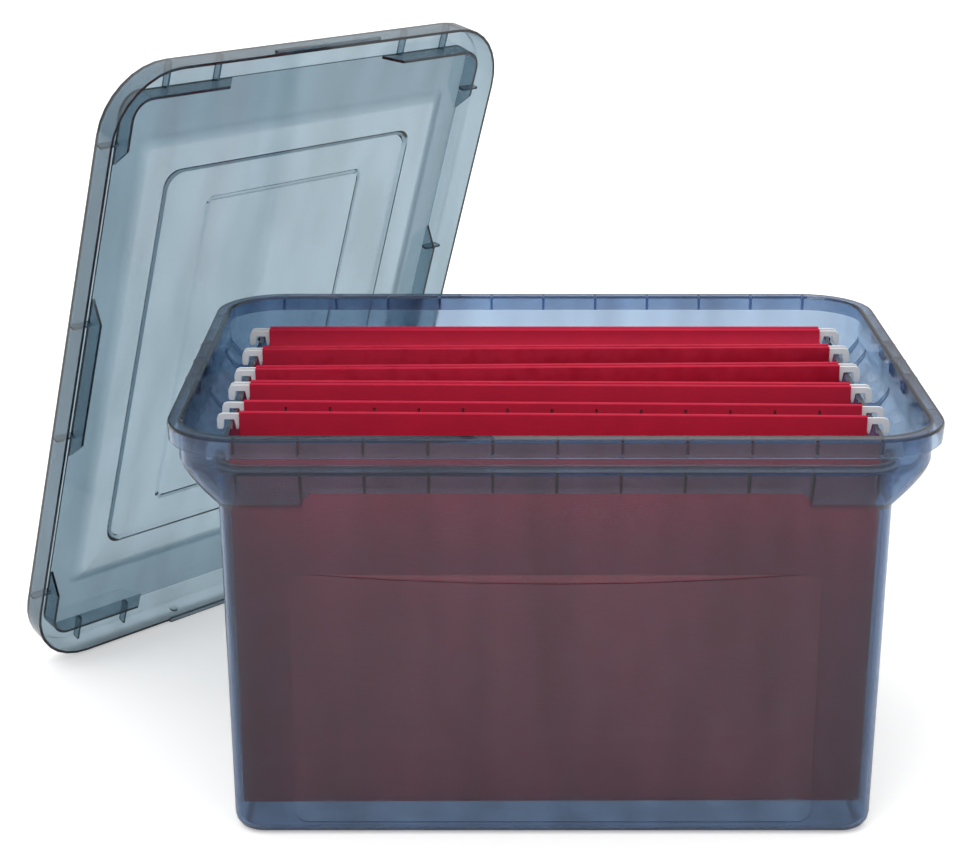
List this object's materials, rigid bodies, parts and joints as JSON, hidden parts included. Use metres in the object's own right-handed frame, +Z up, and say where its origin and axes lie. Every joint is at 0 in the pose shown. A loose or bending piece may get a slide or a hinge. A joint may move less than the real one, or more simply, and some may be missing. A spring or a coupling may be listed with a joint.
{
  "type": "plastic file tote",
  "caption": "Open translucent plastic file tote with hanging folders on its rails and its lid leaning on a rear corner.",
  "frame": {"origin": "centre of the tote's underside, on the surface it stands on", "axes": "+X along the tote's long side, +Y towards the rear side where the lid leans, +Z up"},
  "size_m": [0.5821, 0.5088, 0.4343],
  "materials": {
    "tote_plastic": "translucent smoky blue, satin moulded surface",
    "lid_plastic": "translucent frosted pale blue",
    "card_red": "matt dyed card, folded",
    "rod_white": "flat steel rod with white coated ends"
  },
  "bodies": {
    "root": {"tote": "tote_plastic", "lid": "lid_plastic", "folder_1_card": "card_red", "folder_1_front_rod": "rod_white", "folder_1_rear_rod": "rod_white", "folder_2_card": "card_red", "folder_2_front_rod": "rod_white", "folder_2_rear_rod": "rod_white", "folder_3_card": "card_red", "folder_3_front_rod": "rod_white", "folder_3_rear_rod": "rod_white", "folder_4_card": "card_red", "folder_4_front_rod": "rod_white", "folder_4_rear_rod": "rod_white", "folder_5_card": "card_red", "folder_5_front_rod": "rod_white", "folder_5_rear_rod": "rod_white", "folder_6_card": "card_red", "folder_6_front_rod": "rod_white", "folder_6_rear_rod": "rod_white"}
  },
  "joints": []
}
